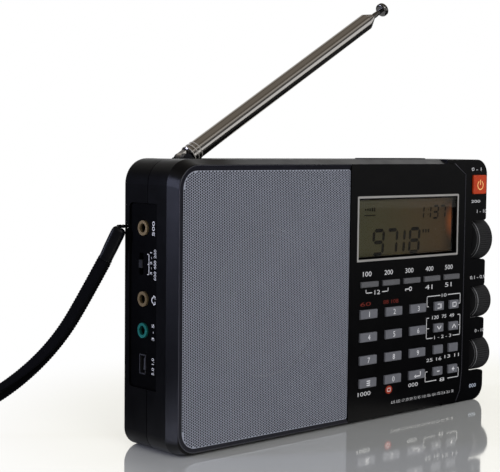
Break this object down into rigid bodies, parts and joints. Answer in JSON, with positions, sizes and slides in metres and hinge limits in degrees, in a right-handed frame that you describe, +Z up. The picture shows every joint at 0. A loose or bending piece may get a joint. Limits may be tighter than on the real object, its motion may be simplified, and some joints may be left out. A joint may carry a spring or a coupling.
{
  "type": "portable shortwave receiver",
  "caption": "Portable shortwave receiver with a perforated speaker grille, LCD, keypad, side knobs, telescopic whip antenna and wrist strap.",
  "frame": {"origin": "centre of the case's bottom face", "axes": "+X to the listener's right, -Y out of the front, +Z up"},
  "size_m": [0.265, 0.116, 0.1832],
  "materials": {
    "case_front": "satin black moulding",
    "case_rear": "satin black moulding",
    "black_steel": "blackened",
    "grille_metal": "perforated, satin dark grey",
    "speaker_paper": "matt black cone and basket",
    "silver_trim": "silver painted",
    "display_window": "clear window",
    "lcd_amber": "amber brown display",
    "circuit_board": "green solder mask",
    "key_mat_rubber": "grey silicone",
    "control_metal": "plain",
    "jack_panel_plastic": "matt black",
    "jack_brass": "gold plated collar",
    "socket_steel": "tin plated",
    "ferrite": "matt ferrite with a wound coil",
    "cell_wrap": "shrink wrap",
    "contact_plate": "nickel plated",
    "switch_plastic": "matt black",
    "top_key_plastic": "satin black",
    "swivel_metal": "dark chrome",
    "antenna_chrome": "polished",
    "strap_sleeve": "moulded black",
    "strap_webbing": "woven black",
    "power_key_plastic": "red orange",
    "knob_plastic": "knurled dark grey",
    "function_key_plastic": "satin dark grey",
    "key_plastic": "satin grey"
  },
  "bodies": {
    "case": {"front_cabinet": "case_front", "rear_cabinet": "case_rear", "case_screws": "black_steel", "speaker_grille": "grille_metal", "speaker": "speaker_paper", "lcd_frame": "silver_trim", "lcd_window": "display_window", "lcd_module": "lcd_amber", "main_board": "circuit_board", "key_mat": "key_mat_rubber", "rotary_controls": "control_metal", "jack_panel": "jack_panel_plastic", "audio_jacks": "jack_brass", "usb_socket": "socket_steel", "ferrite_rod": "ferrite", "battery_cell": "cell_wrap", "battery_contacts": "contact_plate", "strap_sleeve": "strap_sleeve", "wrist_strap": "strap_webbing"},
    "function_key_1": {"function_key_1": "function_key_plastic"},
    "function_key_2": {"function_key_2": "function_key_plastic"},
    "function_key_3": {"function_key_3": "function_key_plastic"},
    "function_key_4": {"function_key_4": "function_key_plastic"},
    "function_key_5": {"function_key_5": "function_key_plastic"},
    "key_1": {"key_1": "key_plastic"},
    "key_2": {"key_2": "key_plastic"},
    "key_3": {"key_3": "key_plastic"},
    "key_4": {"key_4": "key_plastic"},
    "key_5": {"key_5": "key_plastic"},
    "key_6": {"key_6": "key_plastic"},
    "key_7": {"key_7": "key_plastic"},
    "key_8": {"key_8": "key_plastic"},
    "key_9": {"key_9": "key_plastic"},
    "memory_key": {"memory_key": "key_plastic"},
    "key_0": {"key_0": "key_plastic"},
    "enter_key": {"enter_key": "key_plastic"},
    "time_key": {"time_key": "key_plastic"},
    "alarm_key": {"alarm_key": "key_plastic"},
    "band_down_key": {"band_down_key": "key_plastic"},
    "band_up_key": {"band_up_key": "key_plastic"},
    "light_key": {"light_key": "key_plastic"},
    "lock_key": {"lock_key": "key_plastic"},
    "minus_key": {"minus_key": "key_plastic"},
    "plus_key": {"plus_key": "key_plastic"},
    "power_key": {"power_key": "power_key_plastic"},
    "top_key": {"top_key": "top_key_plastic"},
    "tuning_knob": {"tuning_knob": "knob_plastic"},
    "fine_tuning_knob": {"fine_tuning_knob": "knob_plastic"},
    "volume_knob": {"volume_knob": "knob_plastic"},
    "gain_switch": {"gain_switch": "switch_plastic"},
    "kickstand": {"kickstand": "case_rear"},
    "battery_door": {"battery_door": "case_rear"},
    "antenna_swivel": {"antenna_swivel": "swivel_metal"},
    "antenna_tube": {"antenna_tube": "antenna_chrome"},
    "antenna_section_2": {"antenna_section_2": "antenna_chrome"},
    "antenna_section_3": {"antenna_section_3": "antenna_chrome"},
    "antenna_section_4": {"antenna_section_4": "antenna_chrome"},
    "antenna_section_5": {"antenna_section_5": "antenna_chrome"},
    "antenna_tip": {"antenna_tip": "antenna_chrome"}
  },
  "joints": [
    {"name": "function_key_1_press", "type": "slide", "parent": "case", "child": "function_key_1", "axis": [0, 1, 0], "range_m": [0, 0.0008], "stiffness_N_per_m": 600, "springref_m": -0.0006},
    {"name": "function_key_2_press", "type": "slide", "parent": "case", "child": "function_key_2", "axis": [0, 1, 0], "range_m": [0, 0.0008], "stiffness_N_per_m": 600, "springref_m": -0.0006},
    {"name": "function_key_3_press", "type": "slide", "parent": "case", "child": "function_key_3", "axis": [0, 1, 0], "range_m": [0, 0.0008], "stiffness_N_per_m": 600, "springref_m": -0.0006},
    {"name": "function_key_4_press", "type": "slide", "parent": "case", "child": "function_key_4", "axis": [0, 1, 0], "range_m": [0, 0.0008], "stiffness_N_per_m": 600, "springref_m": -0.0006},
    {"name": "function_key_5_press", "type": "slide", "parent": "case", "child": "function_key_5", "axis": [0, 1, 0], "range_m": [0, 0.0008], "stiffness_N_per_m": 600, "springref_m": -0.0006},
    {"name": "key_1_press", "type": "slide", "parent": "case", "child": "key_1", "axis": [0, 1, 0], "range_m": [0, 0.0008], "stiffness_N_per_m": 600, "springref_m": -0.0006},
    {"name": "key_2_press", "type": "slide", "parent": "case", "child": "key_2", "axis": [0, 1, 0], "range_m": [0, 0.0008], "stiffness_N_per_m": 600, "springref_m": -0.0006},
    {"name": "key_3_press", "type": "slide", "parent": "case", "child": "key_3", "axis": [0, 1, 0], "range_m": [0, 0.0008], "stiffness_N_per_m": 600, "springref_m": -0.0006},
    {"name": "key_4_press", "type": "slide", "parent": "case", "child": "key_4", "axis": [0, 1, 0], "range_m": [0, 0.0008], "stiffness_N_per_m": 600, "springref_m": -0.0006},
    {"name": "key_5_press", "type": "slide", "parent": "case", "child": "key_5", "axis": [0, 1, 0], "range_m": [0, 0.0008], "stiffness_N_per_m": 600, "springref_m": -0.0006},
    {"name": "key_6_press", "type": "slide", "parent": "case", "child": "key_6", "axis": [0, 1, 0], "range_m": [0, 0.0008], "stiffness_N_per_m": 600, "springref_m": -0.0006},
    {"name": "key_7_press", "type": "slide", "parent": "case", "child": "key_7", "axis": [0, 1, 0], "range_m": [0, 0.0008], "stiffness_N_per_m": 600, "springref_m": -0.0006},
    {"name": "key_8_press", "type": "slide", "parent": "case", "child": "key_8", "axis": [0, 1, 0], "range_m": [0, 0.0008], "stiffness_N_per_m": 600, "springref_m": -0.0006},
    {"name": "key_9_press", "type": "slide", "parent": "case", "child": "key_9", "axis": [0, 1, 0], "range_m": [0, 0.0008], "stiffness_N_per_m": 600, "springref_m": -0.0006},
    {"name": "memory_key_press", "type": "slide", "parent": "case", "child": "memory_key", "axis": [0, 1, 0], "range_m": [0, 0.0008], "stiffness_N_per_m": 600, "springref_m": -0.0006},
    {"name": "key_0_press", "type": "slide", "parent": "case", "child": "key_0", "axis": [0, 1, 0], "range_m": [0, 0.0008], "stiffness_N_per_m": 600, "springref_m": -0.0006},
    {"name": "enter_key_press", "type": "slide", "parent": "case", "child": "enter_key", "axis": [0, 1, 0], "range_m": [0, 0.0008], "stiffness_N_per_m": 600, "springref_m": -0.0006},
    {"name": "time_key_press", "type": "slide", "parent": "case", "child": "time_key", "axis": [0, 1, 0], "range_m": [0, 0.0008], "stiffness_N_per_m": 600, "springref_m": -0.0006},
    {"name": "alarm_key_press", "type": "slide", "parent": "case", "child": "alarm_key", "axis": [0, 1, 0], "range_m": [0, 0.0008], "stiffness_N_per_m": 600, "springref_m": -0.0006},
    {"name": "band_down_key_press", "type": "slide", "parent": "case", "child": "band_down_key", "axis": [0, 1, 0], "range_m": [0, 0.0008], "stiffness_N_per_m": 600, "springref_m": -0.0006},
    {"name": "band_up_key_press", "type": "slide", "parent": "case", "child": "band_up_key", "axis": [0, 1, 0], "range_m": [0, 0.0008], "stiffness_N_per_m": 600, "springref_m": -0.0006},
    {"name": "light_key_press", "type": "slide", "parent": "case", "child": "light_key", "axis": [0, 1, 0], "range_m": [0, 0.0008], "stiffness_N_per_m": 600, "springref_m": -0.0006},
    {"name": "lock_key_press", "type": "slide", "parent": "case", "child": "lock_key", "axis": [0, 1, 0], "range_m": [0, 0.0008], "stiffness_N_per_m": 600, "springref_m": -0.0006},
    {"name": "minus_key_press", "type": "slide", "parent": "case", "child": "minus_key", "axis": [0, 1, 0], "range_m": [0, 0.0008], "stiffness_N_per_m": 600, "springref_m": -0.0006},
    {"name": "plus_key_press", "type": "slide", "parent": "case", "child": "plus_key", "axis": [0, 1, 0], "range_m": [0, 0.0008], "stiffness_N_per_m": 600, "springref_m": -0.0006},
    {"name": "power_key_press", "type": "slide", "parent": "case", "child": "power_key", "axis": [0, 1, 0], "range_m": [0, 0.0008], "stiffness_N_per_m": 600, "springref_m": -0.0006},
    {"name": "top_key_press", "type": "slide", "parent": "case", "child": "top_key", "axis": [0, 0, -1], "range_m": [0, 0.0006], "stiffness_N_per_m": 800, "springref_m": -0.0006},
    {"name": "tuning_turn", "type": "hinge", "parent": "case", "child": "tuning_knob", "pos_m": [0.0925, -0.006, 0.0755], "axis": [1, 0, 0], "continuous": true},
    {"name": "fine_tuning_turn", "type": "hinge", "parent": "case", "child": "fine_tuning_knob", "pos_m": [0.0925, -0.0078, 0.0464], "axis": [1, 0, 0], "continuous": true},
    {"name": "volume_turn", "type": "hinge", "parent": "case", "child": "volume_knob", "pos_m": [0.0925, -0.0078, 0.0214], "axis": [1, 0, 0], "range_deg": [-150, 150]},
    {"name": "gain_switch_slide", "type": "slide", "parent": "case", "child": "gain_switch", "axis": [0, 0, 1], "range_m": [-0.0025, 0.0025]},
    {"name": "kickstand_turn", "type": "hinge", "parent": "case", "child": "kickstand", "pos_m": [-0.046, 0.015, 0.05], "axis": [1, 0, 0], "range_deg": [0, 55]},
    {"name": "battery_door_open", "type": "hinge", "parent": "case", "child": "battery_door", "pos_m": [0.0392, 0.0165, 0.0108], "axis": [-1, 0, 0], "range_deg": [0, 85]},
    {"name": "antenna_turn", "type": "hinge", "parent": "case", "child": "antenna_swivel", "pos_m": [-0.07133, 0.0077, 0.106], "axis": [0, 0, 1], "range_deg": [0, 340]},
    {"name": "antenna_tilt", "type": "hinge", "parent": "antenna_swivel", "child": "antenna_tube", "pos_m": [-0.07133, 0.0077, 0.11261], "axis": [0, -1, 0], "range_deg": [-30.4, 59.6]},
    {"name": "antenna_section_2_pull", "type": "slide", "parent": "antenna_tube", "child": "antenna_section_2", "axis": [0.8625, 0, 0.506], "range_m": [0, 0.104]},
    {"name": "antenna_section_3_pull", "type": "slide", "parent": "antenna_section_2", "child": "antenna_section_3", "axis": [0.8625, 0, 0.506], "range_m": [0, 0.104]},
    {"name": "antenna_section_4_pull", "type": "slide", "parent": "antenna_section_3", "child": "antenna_section_4", "axis": [0.8625, 0, 0.506], "range_m": [0, 0.104]},
    {"name": "antenna_section_5_pull", "type": "slide", "parent": "antenna_section_4", "child": "antenna_section_5", "axis": [0.8625, 0, 0.506], "range_m": [0, 0.104]},
    {"name": "antenna_tip_pull", "type": "slide", "parent": "antenna_section_5", "child": "antenna_tip", "axis": [0.8625, 0, 0.506], "range_m": [0, 0.104]}
  ]
}
